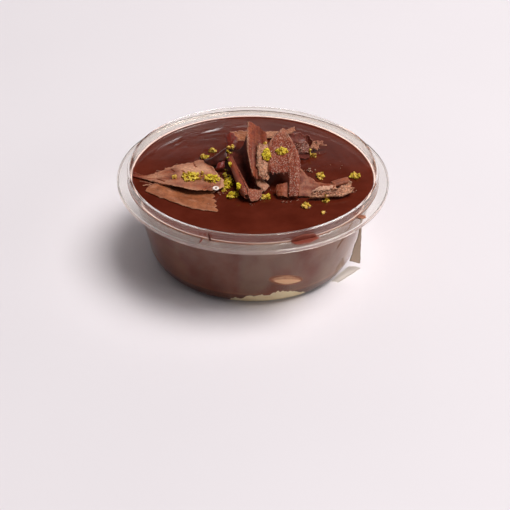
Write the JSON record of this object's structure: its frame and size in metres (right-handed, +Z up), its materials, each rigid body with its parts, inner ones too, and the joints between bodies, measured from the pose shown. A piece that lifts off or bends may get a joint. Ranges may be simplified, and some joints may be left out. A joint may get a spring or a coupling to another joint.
{
  "type": "profiterole dessert in a clear cup",
  "caption": "Chocolate cream dessert with a choux bun in a clear plastic cup, topped with chocolate curls and flakes and chopped pistachio.",
  "frame": {"origin": "centre of the cup's flat base, on the surface it stands on", "axes": "+Z up out of the cup along its axis, -Y towards the front, where the pale cream and the choux bun show through the wall, and +X to the right, where the clear film hangs"},
  "size_m": [0.101, 0.101, 0.0466],
  "materials": {
    "clear_plastic": "clear thermoformed plastic, glossy",
    "clear_film": "thin clear film, glossy and creased",
    "chocolate_cream": "set dark chocolate cream, wet gloss",
    "chocolate_shaving": "scraped chocolate, satin with fine bubbles",
    "dark_shaving": "shaded dark chocolate, satin",
    "pale_shaving": "thin scraped chocolate, dull and pale",
    "pale_cream": "pale cream against the wall, smooth",
    "choux": "baked choux, brown, dry",
    "pistachio": "chopped pistachio, dry, yellow-green"
  },
  "bodies": {
    "root": {"cup": "clear_plastic", "chocolate_cream": "chocolate_cream", "pale_cream": "pale_cream", "choux_bun": "choux", "left_lower_flake": "pale_shaving", "left_upper_flake": "chocolate_shaving", "ridge_flake": "dark_shaving", "quill_curl": "chocolate_shaving", "hollow_curl": "dark_shaving", "tall_curl": "chocolate_shaving", "bridge_curl": "chocolate_shaving", "inner_chip": "pale_shaving", "arch_chip": "pale_shaving", "fan_flake": "chocolate_shaving", "fan_rim": "chocolate_shaving", "fan_roll": "chocolate_shaving", "back_top_flake": "chocolate_shaving", "back_dark_shard": "dark_shaving", "back_right_shard": "dark_shaving", "side_block": "dark_shaving", "back_pale_flake": "pale_shaving", "small_pale_flake": "pale_shaving", "flap_flake": "chocolate_shaving", "red_corner": "dark_shaving", "film_tab": "clear_film"}
  },
  "joints": []
}
